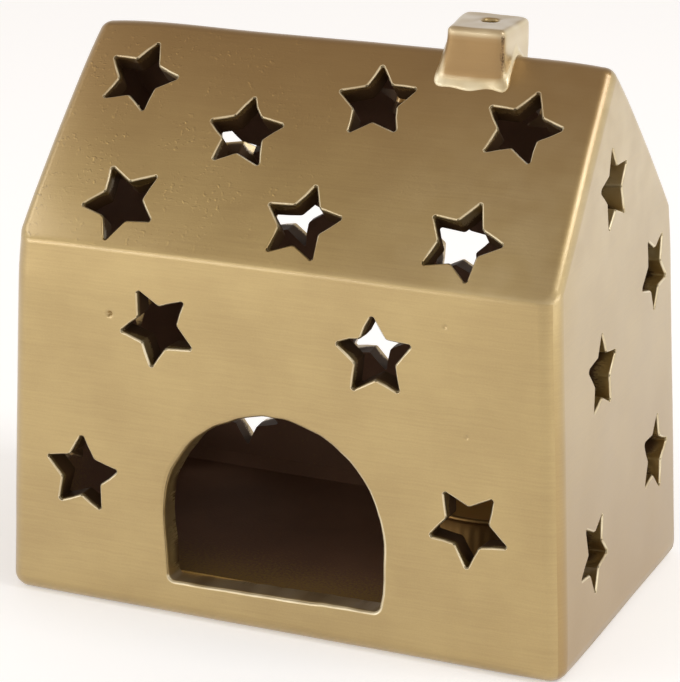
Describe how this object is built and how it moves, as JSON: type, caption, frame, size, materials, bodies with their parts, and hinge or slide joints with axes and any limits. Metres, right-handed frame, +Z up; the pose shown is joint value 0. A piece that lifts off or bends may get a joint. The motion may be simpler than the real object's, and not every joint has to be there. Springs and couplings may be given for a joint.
{
  "type": "tealight house",
  "caption": "Small clay house with star cut-outs and an arched doorway; a tealight slides about on its floor and shines through the stars.",
  "frame": {"origin": "middle of the house's footprint, on the ground", "axes": "+Z up, -Y out of the doorway, +X to the right as seen from the front; the ridge runs along X"},
  "size_m": [0.1098, 0.0675, 0.109],
  "materials": {
    "gold_painted_clay": "satin gold paint brushed over fired red clay",
    "terracotta": "matt, bare fired red clay with gold overspray near the doorway",
    "foil": "drawn foil, gold lacquered, satin",
    "wax": "poured beeswax, soft sheen",
    "cotton": "waxed cord",
    "tinned_steel": "plain"
  },
  "bodies": {
    "house": {"front_wall": "gold_painted_clay", "back_wall": "gold_painted_clay", "left_gable": "gold_painted_clay", "right_gable": "gold_painted_clay", "roof_front": "gold_painted_clay", "roof_back": "gold_painted_clay", "base_slab": "terracotta", "chimney": "gold_painted_clay"},
    "tealight": {"tealight_cup": "foil", "tealight_wax": "wax", "wick": "cotton", "wick_sustainer": "tinned_steel"}
  },
  "joints": [
    {"name": "tealight_slide", "type": "slide", "parent": "house", "child": "tealight", "axis": [1, 0, 0], "range_m": [-0.0282, 0]}
  ]
}
